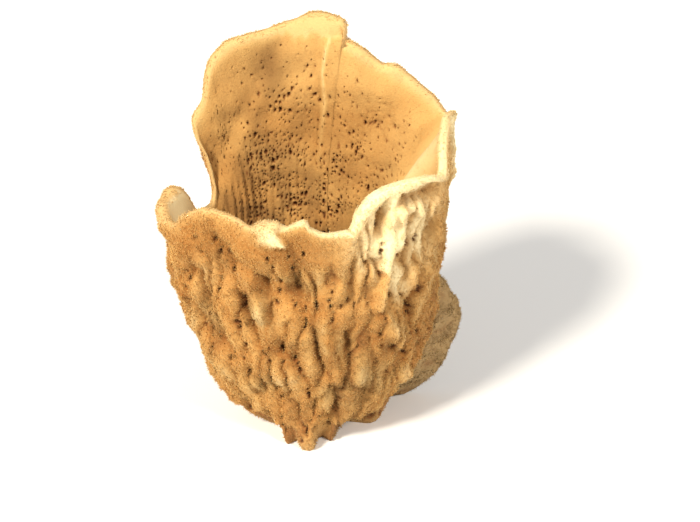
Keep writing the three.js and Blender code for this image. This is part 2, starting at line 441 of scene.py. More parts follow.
# Degrees where the front right peak, the right peak, the left half of the back wall and
# the lobe at the far left stand.
FRONT_PEAK, RIGHT_PEAK, BACK_LEFT, LEFT_LOBE = 315.0, 368.0, 482.0, 542.0

# ---- relief of the outside ----
RIB_DEPTH, KNOB_HEIGHT, BEAD_HEIGHT, SWELL_HEIGHT, EAR_RELIEF = 5.4, 1.2, 1.3, 1.2, 1.6
PITS, PIT_ROOM = 6000, (5.0, 6.5)  # tries, and the mm round and up that one needs
PIT_RADII, PIT_TALL, PIT_WINDOW = (0.7, 1.7), 1.35, 9

# Furrows of the outside's front, each as (x, z) spots, with its width and depth.
FURROWS = (
    (((-50, 139), (-40, 128), (-33, 122), (-23, 116)), 3.6, 3.6),
    (((-24, 118), (-21, 104), (-18, 86), (-15, 74)), 2.6, 3.4),
    (((-10, 140), (-7, 130), (-6, 116), (-3, 104)), 3.6, 3.4),
    (((4, 98), (5, 86), (5, 72), (8, 58)), 2.6, 3.6),
    (((-45, 118), (-38, 106), (-35, 96)), 2.6, 2.6),
    (((-32, 88), (-26, 78)), 2.2, 2.6),
    (((-58, 92), (-52, 82), (-47, 72)), 2.6, 2.0),
    (((60, 108), (56, 92), (54, 74), (52, 56)), 3.4, 6.0),
    (((40, 118), (38, 108), (35, 100)), 2.4, 3.0),
    (((57, 146), (54, 136), (50, 128)), 3.0, 4.0),
    (((50, 157), (58, 158), (66, 158)), 5.0, 4.5),
    (((40, 152), (37, 143)), 3.2, 4.0),
    (((24, 130), (22, 118), (24, 108)), 2.6, 2.4),
    (((20, 84), (22, 66), (20, 50)), 2.6, 3.4),
    (((34, 80), (35, 62), (32, 44)), 2.6, 3.4),
)

# Ridges of the outside's front, laid out as the furrows are.
RIDGES = (
    (((44, 149), (44, 135), (42, 122), (40, 110), (38, 98)), 3.0, 3.0),
    (((50, 153), (49, 140), (48, 130)), 2.4, 2.6),
    (((70, 158), (69, 140), (68, 122)), 3.0, 2.2),
    (((-30, 118), (-26, 100), (-20, 84)), 4.0, 1.6),
    (((10, 90), (12, 70), (14, 56)), 4.0, 1.6),
)


def smooth_band(degrees):
    """How wide the velvety band under the rim is: wide at the front left, narrow at the
    front right, in between at the back."""
    return 34.0 - 24.0 * turn_bell(degrees, 312, 38) - 10.0 * turn_bell(degrees, 90, 80)


def lumps(around, height, wide, tall):
    """Long rounded lumps side by side: 1 on their backs and 0 in the valleys between, and
    how near each spot is to a place where three lumps meet."""
    columns, rows = int(WAIST_LENGTH / wide), int(WALL_LENGTH / tall) + 2
    shift_across, shift_up = rng.uniform(0.06, 0.94, (2, rows, columns))
    across, up = around / WAIST_LENGTH * columns, height / tall + 0.5
    far = []
    for down in (-1, 0, 1):
        for over in (-1, 0, 1):
            row = np.clip(np.floor(up).astype(int) + down, 0, rows - 1)
            column = np.floor(across).astype(int) + over
            spot = (row, column % columns)
            far.append(np.hypot(across - column - shift_across[spot],
                                up - row - shift_up[spot]))
    first, second, third = np.sort(np.array(far), axis=0)[:3]
    valley = 1.0 - np.clip((second - first) / 0.75, 0.0, 1.0)
    return 1.0 - valley ** 2, 1.0 - smoothstep(third - first, 0.0, 0.3)


def ribbing(around, height):
    """Lumps of the wall, with broader ones at the foot, where growth lines draw near."""
    fine, fine_meeting = lumps(around, height, 9.0, 40.0)
    broad, broad_meeting = lumps(around, height, 15.0, 30.0)
    low = smoothstep(height, 22, 46)
    return mix(broad, fine, low), mix(broad_meeting, fine_meeting, low)


def outside_relief(wall, ear_share):
    """How far the outside stands off the bare skin, and for each spot how deep in a pit,
    how pale and how brown it is; the paleness holds painted sunlight, light and highlights,
    and the pits and brown hold painted shade."""
    height = wall[..., 2]
    below_rim = RIM_Z - height
    flat = AROUND + 0 * height
    around = flat + 2.0 * laid(grown_noise(40, 50), flat, height)
    around = around + 0.9 * laid(grown_noise(11, 14), flat, height)
    ribs, meeting = ribbing(around, height)
    knobs = laid(grown_noise(13.0, 19.0, 0.4), around, height)
    beads, _ = lumps(flat, height, 6.0, 8.0)
    patches = share_of(laid(grown_noise(26.0, 34.0, 0.5), flat, height))
    swell = laid(grown_noise(36.0, 48.0, 0.5), flat, height)

    band = smooth_band(AZIMUTH)
    strength = smoothstep(below_rim, 0.3 * band, 1.3 * band) * (0.45 + 0.55 * patches)
    foot = smoothstep(height, 0.0, 14.0)
    fall = (RIB_DEPTH * (1.0 - ribs) - KNOB_HEIGHT * knobs
            + BEAD_HEIGHT * (1.0 - beads) * smoothstep(ribs, 0.0, 0.7))
    dimples = outside_pits(wall, strength * meeting * (1.0 - ribs))
    relief = SWELL_HEIGHT * swell * smoothstep(below_rim, 2, 20)
    relief = relief - strength * mix(0.25, 1.0, foot) * fall + dimples * foot
    # Brown in the creases between the ribs and dark in the pits: partly the sponge's own
    # colour, partly painted shade.
    pit = np.maximum(0.6 * strength * (1.0 - ribs) ** 1.5, smoothstep(-dimples, 0.4, 2.4))
    # Painted sunlight: the front right peak is made paler, and freer of brown, as if the sun
    # fell on it.
    painted_sunlight = turn_bell(AZIMUTH, FRONT_PEAK, 28)
    pale = outside_paleness(height, painted_sunlight, patches, strength, ribs)
    stain_and_shade = strength * outside_stain_and_shade(height, painted_sunlight, patches, swell)
    relief, pit, pale = with_drawn_lines(wall, relief, pit, pale, knobs)

    ear_knobs = share_of(laid(grown_noise(16.0, 15.0, 0.5), AROUND * 3.0, height))
    relief = mix(relief, -EAR_RELIEF * (1.0 - ear_knobs) ** 2, ear_share)
    pit = mix(pit, 0.5 * (1.0 - ear_knobs) ** 3, ear_share)
    return relief, pit, pale * (1.0 - ear_share), stain_and_shade


def outside_paleness(height, painted_sunlight, patches, strength, ribs):
    """Pale along the rim, and paler over the front right peak as painted sunlight; painted
    light on the strip behind the right peak and under the left lobe; a painted highlight on the
    ribs' backs; painted light at the foot, lifting the shade there; and painted shade that
    takes the paleness out of the creases between the ribs."""
    pale = np.maximum((0.35 + 0.6 * painted_sunlight) * (1.0 - smoothstep(RIM_Z - height, 0.0, 9.0)),
                      painted_sunlight * smoothstep(height - 22.0 * (patches - 0.5), 82, 135))
    # Painted light on the strip behind the right peak and on the outside under the left lobe.
    for most, degrees, spread, low, high in ((0.8, 372, 14, 90, 125), (0.6, 548, 9, 105, 130)):
        strip = turn_bell(AZIMUTH, degrees, spread) * smoothstep(height, low, high)
        pale = np.maximum(pale, most * strip)
    # Painted highlight on the ribs' backs.
    pale = np.maximum(pale, 0.45 * strength * ribs ** 2)
    # Painted light at the foot, lifting the shade that falls there.
    pale = np.maximum(pale, 0.55 * (1.0 - smoothstep(height, 0.0, 24.0)))
    # Painted shade: the paleness is taken out of the creases between the ribs.
    return pale * (1.0 - 0.65 * strength * (1.0 - ribs))


def outside_stain_and_shade(height, painted_sunlight, patches, swell):
    """Brown in patches, with painted shade in the hollows and over the low right of the front;
    the patches and hollows fade under the painted sunlight.
    """
    # Painted shade in the hollows of the broad swelling.
    hollow = smoothstep(-swell, 0.2, 1.6)
    # Painted shade over the low right of the front.
    painted_shade_low_right = turn_bell(AZIMUTH, 298, 24) * (1.0 - smoothstep(height, 50, 100))
    return np.maximum((0.3 * patches + 0.4 * hollow) * (1.0 - painted_sunlight), 0.9 * painted_shade_low_right)


def with_drawn_lines(wall, relief, pit, pale, knobs):
    """The relief, pits and paleness with the furrows cut in and the ridges raised; the furrows
    get painted shade, and the ridges of the front right painted sunlight.
    """
    height = wall[..., 2]
    flat = AROUND + 0 * height
    for spots, width, depth in FURROWS:
        line = stroke(flat, height, [spot_at(wall, x, z, "front") for x, z in spots], width)
        relief = relief - depth * line
        # Painted shade: brown in the furrows, and less pale.
        pit = np.maximum(pit, 0.09 * depth * line)
        pale = pale * (1.0 - 0.5 * line)
    for spots, width, rise in RIDGES:
        line = stroke(flat, height, [spot_at(wall, x, z, "front") for x, z in spots], width)
        relief = mix(relief, rise + knobs, line)
        pit = pit * (1.0 - 0.8 * line)
        # Painted sunlight on the ridges of the front right.
        pale = np.maximum(pale, 0.12 * rise * line * smoothstep(AZIMUTH, 285, 300))
    return relief, pit, pale


def outside_pits(wall, chance):
    """Deep little pits, nearly all of them in the creases between the ribs: the chance is
    weighed by how wide each column is, and only one pit is kept in each room."""
    chance = chance * np.linalg.norm(wall - np.roll(wall, 1, 1), axis=-1)
    total = np.cumsum(chance.ravel())
    picked = np.searchsorted(total, rng.uniform(0, total[-1], PITS))
    row, column = np.unravel_index(np.minimum(picked, total.size - 1), chance.shape)
    room = (AROUND[column] // PIT_ROOM[0]) * 1000 + wall[row, column, 2] // PIT_ROOM[1]
    first = np.unique(room, return_index=True)[1]
    row, column = row[first], column[first]
    radius = rng.uniform(*PIT_RADII, row.size)
    return press_dimples(wall, AROUND[column], wall[row, column, 2], radius,
                         0.8 + 1.8 * radius, PIT_TALL, PIT_WINDOW)


# ---- the lip: a lobe of the front rim that curls over ----
LIP_FROM, LIP_TO_ABOVE, LIP_TO_BELOW, LIP_OUT = 244.0, 258.0, 262.0, 4.0
LIP_BOTTOM, LIP_TOP = 140.5, 152.0


def lip_curl(height):
    """How far the curled lobe stands out, 0 to 1: it swells from nothing at its left end,
    and stops short at its level lower edge and at its slanting right end."""
    right = mix(LIP_TO_BELOW, LIP_TO_ABOVE, smoothstep(height, LIP_BOTTOM, LIP_TOP))
    grown = smoothstep(AZIMUTH, LIP_FROM, LIP_FROM + 9.0)
    over = smoothstep(height, LIP_BOTTOM + 3.0 * (1.0 - grown) - 1.5, LIP_BOTTOM + 3.0)
    return over * grown * (1.0 - smoothstep(AZIMUTH - right, -1.6, 0.4))


# ---- relief of the inside ----
GROWTH_LINES = (19.0, 27.0, 33.0)  # mm below the rim, on the right of the crease
GROWTH_DEPTH, SWELL_DEPTH, BAND_DEPTH, STREAK_DEPTH = 0.7, 0.5, 0.22, 0.32
PORE_ACROSS, PORE_UP = 2.3, 2.0  # the grid of cells that may each hold one pore
PORE_TOP, PORE_TALL, PORE_WINDOW = 225.0, 1.35, 8

# The crease down the inside of the back wall, as (x, z) spots, and its step in mm.
CREASE = ((11, 213), (8.2, 207), (7, 200), (5.8, 192), (6.9, 184), (7.4, 176), (6.2, 166),
          (4.4, 148), (3.7, 136), (2, 118), (1, 95))
CREASE_STEP = 4.0

# The end face of the back wall's left half, which stands above the right half's rim.
PLEAT_Z, PLEAT_TOP, PLEAT_LEFT_X, PLEAT_RIGHT_X = 211.0, 226.0, 10.5, 18.0


def pore_spots():
    """Pores in rows up the inside: mm round, mm up, radius and depth of each."""
    columns = np.arange(int(WAIST_LENGTH / PORE_ACROSS))
    rows = np.arange(int(PORE_TOP / PORE_UP))
    column, row = (a.ravel() for a in np.meshgrid(columns, rows))
    around = (column + 0.5 + 0.3 * rng.uniform(-1, 1, column.size)) * PORE_ACROSS
    up = (row + 0.5 * (column % 2) + rng.uniform(-0.2, 1.2, row.size)) * PORE_UP
    degrees = np.interp(around, AROUND, AZIMUTH)
    rim = np.interp(around, AROUND, RIM_Z)
    cloud = share_of(laid(grown_noise(22.0, 30.0, 0.6), around, up))
    low = 1.0 - 0.72 * smoothstep(up, 120, 205)
    left = mix(0.45, 1.0, turn_bell(degrees, BACK_LEFT, 34))
    bare = 1.0 - turn_bell(degrees, RIGHT_PEAK, 24)
    chance = low * left * bare * (0.3 + 1.2 * cloud) * smoothstep(rim - up, 10, 24)
    kept = rng.random(column.size) < chance
    around, up, cloud, low = around[kept], up[kept], cloud[kept], low[kept]
    radius = rng.uniform(0.28, 0.5, around.size) + 0.75 * rng.random(around.size) ** 5
    radius *= 0.8 + 0.45 * low * cloud
    return around, up, radius, 0.9 + 1.5 * radius


def inside_relief(wall):
    """How far the inside stands off the bare skin, and for each spot how deep in a pit,
    how near the crease's pale edge, a painted highlight, and how brown it is, with a painted
    shadow high on the left of the back wall."""
    height = wall[..., 2]
    around = AROUND + 0 * height
    swell = laid(grown_noise(30.0, 40.0, 0.5), around, height)
    bands = laid(grown_noise(150.0, 13.0, 0.4), around, height)
    streaks = laid(grown_noise(4.2, 30.0), around, height)
    low = 1.0 - smoothstep(height, 130, 195)
    clear = smoothstep(RIM_BLURRED - height, 4, 22)
    left = mix(0.35, 1.0, turn_bell(AZIMUTH, BACK_LEFT, 34))
    growth = sum(bell(RIM_Z - height + 1.5 * bands, far, 0.9) for far in GROWTH_LINES)
    growth = growth * turn_bell(AZIMUTH, 414, 22) * (streaks > -1.2)
    plain = (SWELL_DEPTH * swell + BAND_DEPTH * bands
             + STREAK_DEPTH * low * left * streaks)
    pores = press_dimples(wall, *pore_spots(), PORE_TALL, PORE_WINDOW)
    step, edge = crease(wall, around, height)
    relief = clear * plain - GROWTH_DEPTH * growth + pores + step
    # Dark in the pores and brown along the growth lines: partly the sponge's own colour, partly
    # painted shade.
    pit = np.maximum(0.85 * smoothstep(-pores, 0.15, 1.1), 0.4 * growth)
    cloud = share_of(laid(grown_noise(22.0, 30.0, 0.6), around, height))
    stain_and_shade = clear * left * (0.15 + 0.85 * cloud) * mix(0.3, 1.0, low)
    # Painted shadow: a cast shadow high on the left of the back wall, laid into the brown
    # clouds.
    shade = bell(wall[..., 0], -22.0, 10.0) * bell(height, 194.0, 19.0) * (wall[..., 1] > 0)
    stain_and_shade = np.maximum(stain_and_shade, shade)
    return relief, pit, edge, stain_and_shade


def crease(wall, around, height):
    """The pleat's step down the inside: the right half stands proud of the left, with a
    sharp pale edge, a painted highlight, that fades towards the foot."""
    spots = [spot_at(wall, x, z, "back") for x, z in CREASE]
    line_up = np.array([up for _, up in spots])[::-1]
    line_around = np.array([run for run, _ in spots])[::-1]
    right_of = np.interp(height, line_up, line_around) - around
    fade = smoothstep(height, 90, 185)
    step = smoothstep(right_of, -0.7, 0.8) * (1.0 - smoothstep(right_of, 5.0, 60.0))
    step *= 0.25 + 0.75 * fade
    edge = 0.55 * bell(right_of, 0.7, 1.1) * smoothstep(height, 130, 195)
    over = smoothstep(height, PLEAT_Z - 1.0, PLEAT_Z + 0.6) * (RIM_Z > PLEAT_Z + 3)
    corner = mix(PLEAT_LEFT_X, PLEAT_RIGHT_X, smoothstep(height, PLEAT_Z, PLEAT_TOP))
    facet = np.clip(wall[..., 0] - corner, 0.0, 9.0) * over * (wall[..., 1] > 0)
    facet *= smoothstep(RIM_Z - height, 0.0, 4.0)
    # The end face above the right half's rim is made pale too, a painted highlight.
    return CREASE_STEP * step * (1.0 - over) - 0.3 * facet, np.maximum(edge, 0.5 * over)


def inside_paleness(height, edge, stain_and_shade):
    """Pale under the rim and in the right peak; a painted highlight along the crease; pale high
    up where the wall is clean; and painted light in the hollow of the left lobe."""
    under_rim = 1.0 - smoothstep(RIM_BLURRED - height, 1.0, 13.0)
    high = smoothstep(height, 165, 200) * (1.0 - stain_and_shade)
    return np.maximum.reduce([
        0.4 * under_rim, 0.8 * edge, 0.5 * turn_bell(AZIMUTH, RIGHT_PEAK, 25) + 0 * height,
        0.18 * high, 0.95 * turn_bell(AZIMUTH, LEFT_LOBE, 16) + 0 * height])


# ---- the whole skin ----

FELT_DEPTH = 0.12


def felt(skin):
    """A fine roughness over everything."""
    height = skin[..., 2]
    return FELT_DEPTH * laid(grown_noise(2.6, 2.6, 0.5), AROUND + 0 * height, height)


def relieved_skin():
    """The skin with its relief, and for each point how deep in a pit, how pale, how
    brown, how far inside and how much on the ear it is. The pale note carries painted light
    and highlights, and the pit and brown notes carry painted shade as well as the sponge's
    own colour."""
    skin, starts = bare_skin()
    ear = grow_ear(skin, starts)
    normals = skin_normals(skin)
    outer, rim, inner = (slice(a, b) for a, b in zip(starts[:-1], starts[1:]))
    normals[inner] = -OUTWARD
    relief, pit, pale, stain_and_shade = np.zeros((4,) + skin.shape[:2])
    relief[outer], pit[outer], pale[outer], stain_and_shade[outer] = outside_relief(
        skin[outer], ear[outer])
    relief[inner], pit[inner], edge, stain_and_shade[inner] = inside_relief(skin[inner])
    relief[starts[0]:starts[3]] += felt(skin[starts[0]:starts[3]])

    curl = lip_curl(skin[outer][..., 2])
    relief[outer] = mix(relief[outer], LIP_OUT, curl)
    pale[outer] = np.maximum(pale[outer], 0.75 * curl ** 2)
    relief[rim] += LIP_OUT * curl[-1] * np.linspace(1.0, 0.0, RIM_ROWS)[:, None]

    foot = smoothstep(skin[outer][..., 2], 0.0, 8.0)[..., None]
    level = normals[outer] * (1.0, 1.0, 0.0)
    level /= np.linalg.norm(level, axis=-1, keepdims=True)
    normals[outer] = mix(level, normals[outer], foot)
    shaped = skin + normals * relief[..., None]
    shaped[BASE_ROWS, :, 2] = 0.0
    shaped[:BASE_ROWS] = flat_cut(shaped[BASE_ROWS])

    pale[inner] = inside_paleness(skin[inner][..., 2], edge, stain_and_shade[inner])
    # The rim is pale all round, and paler towards the front right peak as painted sunlight.
    pale[rim] = 0.4 + 0.5 * turn_bell(AZIMUTH, FRONT_PEAK, 50)
    inside = np.zeros_like(relief)
    inside[inner.start:] = 1.0
    inside[rim] = np.linspace(0.0, 1.0, RIM_ROWS)[:, None]
    return shaped, {"pit": pit, "pale": pale, "stain_and_shade": stain_and_shade, "inside": inside, "ear": ear}


# ---- thinning the grid ----

def tile_roots():
    """Two right triangles for each tile, as grid corners (row, column) of a, b and the
    right angle c; a-b is the long side."""
    roots = []
    for top in range(0, ROWS, TILE):
        for left in range(0, COLUMNS, TILE):
            near, far = (top, left), (top + TILE, left + TILE)
            roots.append((near, far, (top + TILE, left)))
            roots.append((far, near, (top, left + TILE)))
    return np.array(roots, np.int32)


def halved(triangles):
    """Each triangle as the two that the middle of its long side makes of it."""
    a, b, c = triangles[:, 0], triangles[:, 1], triangles[:, 2]
    middle = (a + b) // 2
    return np.concatenate([np.stack([c, a, middle], 1), np.stack([b, c, middle], 1)])


def bend_of_long_sides(values):
    """For each grid point, how far the skin leaves the straight long side it halves, or
    any side that a finer triangle within halves."""
    levels = [tile_roots()]
    for _ in range(2 * int(math.log2(TILE)) - 1):
        levels.append(halved(levels[-1]))
    error = np.zeros((ROWS + 1, COLUMNS), np.float32)

    def grid(point):
        return point[:, 0], point[:, 1] % COLUMNS

    for depth in range(len(levels) - 1, -1, -1):
        a, b, c = (levels[depth][:, i] for i in range(3))
        middle = (a + b) // 2
        miss = np.linalg.norm(
            values[grid(middle)] - 0.5 * (values[grid(a)] + values[grid(b)]), axis=1)
        if depth + 1 < len(levels):
            for side in ((a + c) // 2, (b + c) // 2):
                miss = np.maximum(miss, error[grid(side)])
        np.maximum.at(error, grid(middle), miss)
    return error


def thinned(error, limit):
    """The triangles left when only long sides that miss the skin by over limit halve."""
    current, kept = tile_roots(), []
    for _ in range(2 * int(math.log2(TILE))):
        middle = (current[:, 0] + current[:, 1]) // 2
        split = error[middle[:, 0], middle[:, 1] % COLUMNS] > limit
        kept.append(current[~split])
        current = halved(current[split])
    kept.append(current)
    return np.concatenate(kept)


def thin_to(values, most):
    """The finest thinning that keeps under so many triangles."""
    error = bend_of_long_sides(values)
    low, high = 0.0, 2.0
    for _ in range(11):
        limit = 0.5 * (low + high)
        low, high = (limit, high) if len(thinned(error, limit)) > most else (low, limit)
    return thinned(error, high)


# ---- meshes ----

def placed(name, data):
    """A new object that holds the data, in the scene."""
    holder = bpy.data.objects.new(name, data)
    bpy.context.collection.objects.link(holder)
    return holder


def new_mesh(name, points, triangles):
    """An object from points in millimetres and triangles of point numbers."""
    mesh = bpy.data.meshes.new(name)
    mesh.vertices.add(len(points))
    mesh.vertices.foreach_set("co", (points * MM).astype(np.float32).ravel())
    mesh.loops.add(triangles.size)
    mesh.loops.foreach_set("vertex_index", triangles.astype(np.int32).ravel())
    mesh.polygons.add(len(triangles))
    mesh.polygons.foreach_set("loop_start", np.arange(0, triangles.size, 3, dtype=np.int32))
    mesh.update(calc_edges=True)
    mesh.validate()
    return placed(name, mesh)


def add_note(mesh, name, values):
    """A number for each point, which the material reads by its name."""
    layer = mesh.attributes.new(name, "FLOAT", "POINT")
    layer.data.foreach_set("value", values.astype(np.float32).ravel())


def add_layout(mesh, corners):
    """The UV map that colours are baked into: a place for each corner of a triangle."""
    layer = mesh.uv_layers.new(name="OFBake")
    layer.data.foreach_set("uv", corners.astype(np.float32).ravel())


def fan(ring_points, centre, flip):
    """Triangles from a ring of points to the point in its middle."""
    pairs = np.stack([ring_points, np.roll(ring_points, -1)], 1)
    if flip:
        pairs = pairs[:, ::-1]
    return np.column_stack([np.full(len(pairs), centre), pairs])


def body_piece(skin, notes):
    """The thinned skin as one closed mesh. Its pits and pale spots count as bends too, so
    that the colours' edges stay sharp."""
    weights = np.concatenate([skin, PIT_WEIGHT * notes["pit"][..., None],
                              PALE_WEIGHT * notes["pale"][..., None]], -1)
    corners = thin_to(weights.astype(np.float32), BODY_TRIANGLES)[:, ::-1]
    number = corners[..., 0] * COLUMNS + corners[..., 1] % COLUMNS
    used, triangles = np.unique(number, return_inverse=True)
    points = skin.reshape(-1, 3)[used]
    ends = []
    for row, flip in ((0, True), (ROWS, False)):
        ring_points = np.flatnonzero(used // COLUMNS == row)
        ends.append(fan(ring_points, len(points), flip))
        points = np.vstack([points, points[ring_points].mean(axis=0)])
    piece = new_mesh("sponge_body", points, np.vstack([triangles.reshape(-1, 3), *ends]))
    mesh = piece.data
    mesh.polygons.foreach_set("use_smooth", np.ones(len(mesh.polygons), bool))
    for name, values in notes.items():
        add_note(mesh, name, np.r_[values.ravel()[used], values[0].mean(), values[-1].mean()])
    layout = np.stack([corners[..., 1] / COLUMNS, corners[..., 0] / ROWS], -1)
    middles = [np.full((3 * len(end), 2), (0.5, v)) for end, v in zip(ends, (0.0, 1.0))]
    add_layout(mesh, np.vstack([layout.reshape(-1, 2), *middles]))
    return piece


# ---- fibres ----
FIBRES_A_PIECE = 49000
FIBRE_CELLS = 222  # a side of the square that fibres share in a layout
FIBRE_LEAN, FIBRE_LIFT = 0.4, 0.12  # how far fibres lean at random, and all lean up
ROOT_DEPTH, ROOT_JITTER = 0.25, 0.12
TIP_FROM = 0.3  # the tip note at a fibre's foot; it is 0 on the body


def fibre_roots(skin, normals, density, count):
    """Random roots, crowded where density is high: points, outward ways, grid numbers."""
    cell = np.linalg.norm(np.cross(np.gradient(skin, axis=0), np.roll(skin, -1, 1) - skin),
                          axis=-1)
    total = np.cumsum((cell * density).ravel())
    picked = np.searchsorted(total, rng.uniform(0, total[-1], count))
    picked = np.minimum(picked, total.size - 1)
    jitter = rng.normal(0, ROOT_JITTER, (count, 3))
    return skin.reshape(-1, 3)[picked] + jitter, normals.reshape(-1, 3)[picked], picked


def fibre_piece(name, roots, outward, lengths, radius, notes):
    """Thin three-sided spikes, each closed, leaning at random off the skin."""
    count = len(roots)
    ahead = outward + FIBRE_LEAN * rng.normal(0, 1, (count, 3)) + (0.0, 0.0, FIBRE_LIFT)
    ahead /= np.linalg.norm(ahead, axis=1, keepdims=True)
    side = np.cross(ahead, rng.normal(0, 1, (count, 3)))
    side /= np.linalg.norm(side, axis=1, keepdims=True)
    other = np.cross(ahead, side)
    foot = roots - ROOT_DEPTH * outward
    ring = [foot + radius[:, None] * (math.cos(t) * side + math.sin(t) * other)
            for t in (0.0, math.tau / 3, 2 * math.tau / 3)]
    points = np.stack(ring + [foot + ahead * lengths[:, None]], 1).reshape(-1, 3)
    points[:, 2] = np.maximum(points[:, 2], 0.0)
    faces = np.array([(0, 1, 3), (1, 2, 3), (2, 0, 3), (2, 1, 0)])
    triangles = (faces[None] + 4 * np.arange(count)[:, None, None]).reshape(-1, 3)
    piece = new_mesh(name, points, triangles)
    for key, values in notes.items():
        add_note(piece.data, key, np.repeat(values, 4))
    # The tip note: TIP_FROM at the foot and a random value at the tip, which the material
    # paints as a highlight.
    tips = np.column_stack([np.full((count, 3), TIP_FROM), rng.uniform(TIP_FROM, 1.0, count)])
    add_note(piece.data, "tip", tips)
    add_layout(piece.data, fibre_layout(count))
    return piece


def fibre_layout(count):
    """A small square of the UV map for every fibre, foot below, tip above."""
    corner = np.array([(0.15, 0.15), (0.5, 0.15), (0.5, 0.85), (0.5, 0.15), (0.85, 0.15),
                       (0.5, 0.85), (0.85, 0.15), (0.15, 0.15), (0.5, 0.85), (0.85, 0.15),
                       (0.5, 0.15), (0.15, 0.15)])
    number = np.arange(count)
    cell = np.stack([number % FIBRE_CELLS, number // FIBRE_CELLS], -1)
    return (cell[:, None] + corner[None]) / FIBRE_CELLS


# ---- materials ----

def srgb(red, green, blue):
    """A colour given as it looks, 0 to 255, as Blender's linear one."""
    def linear(value):
        value /= 255.0
        return value / 12.92 if value <= 0.04045 else ((value + 0.055) / 1.055) ** 2.4
    return (linear(red), linear(green), linear(blue), 1.0)


# Clouds of the inside, then of the outside, then the colours laid over both.
TAN = srgb(224, 176, 102)
HONEY = srgb(208, 157, 86)
GOLD = srgb(206, 150, 78)
AMBER = srgb(186, 128, 60)
# CREAM and STRAW make the pale parts, painted sunlight, light and highlights among them; BROWN
# and DARK also paint shade under the fibres and in creases and pits; UMBER browns the stains
# and paints shade and shadow.
CREAM = srgb(255, 238, 188)
STRAW = srgb(240, 204, 132)
BROWN = srgb(112, 62, 24)
DARK = srgb(66, 34, 12)
# OLIVE greys the ear as painted shade.
OLIVE = srgb(160, 138, 100)
UMBER = srgb(120, 86, 46)


class Nodes:
    """A material's node tree, with short calls for the nodes used here."""

    def __init__(self, name):
        self.material = bpy.data.materials.new(name)
        self.material.use_nodes = True
        self.tree = self.material.node_tree
        self.shader = self.tree.nodes["Principled BSDF"]
        self.shader.inputs["Roughness"].default_value = 0.92
        self.shader.inputs["Specular IOR Level"].default_value = 0.25
        self.shader.inputs["Sheen Weight"].default_value = 0.06
        self.shader.inputs["Sheen Roughness"].default_value = 0.6
        self.shader.inputs["Sheen Tint"].default_value = CREAM

    def add(self, kind, **settings):
        node = self.tree.nodes.new(kind)
        for key, value in settings.items():
            setattr(node, key, value)
        return node

    def link(self, source, target):
        self.tree.links.new(source, target)

    def feed(self, sockets, values):
        """Links each value that is a node's output, and sets the ones that are constant."""
        for socket, value in zip(sockets, values):
            if isinstance(value, bpy.types.NodeSocket):
                self.link(value, socket)
            else:
                socket.default_value = value

    def note(self, name):
        """The number that the mesh carries under this name."""
        return self.add("ShaderNodeAttribute", attribute_name=name).outputs["Fac"]

    def noise(self, scale, detail):
        noise = self.add("ShaderNodeTexNoise")
        noise.inputs["Scale"].default_value = scale
        noise.inputs["Detail"].default_value = detail
        self.link(self.add("ShaderNodeTexCoord").outputs["Object"], noise.inputs["Vector"])
        return noise.outputs["Fac"]

    def ramp(self, value, low, high, to_low=0.0, to_high=1.0):
        """A smooth step of the value from low to high, as a number to_low to to_high."""
        node = self.add("ShaderNodeMapRange", interpolation_type="SMOOTHSTEP")
        keys = ("Value", "From Min", "From Max", "To Min", "To Max")
        self.feed([node.inputs[key] for key in keys], (value, low, high, to_low, to_high))
        return node.outputs["Result"]

    def blend(self, share, first, second):
        """The first colour at share 0, the second at share 1."""
        node = self.add("ShaderNodeMix", data_type="RGBA")
        self.feed([node.inputs[place] for place in (0, 6, 7)], (share, first, second))
        return node.outputs[2]

    def times(self, first, second):
        node = self.add("ShaderNodeMath", operation="MULTIPLY")
        self.feed(node.inputs, (first, second))
        return node.outputs[0]


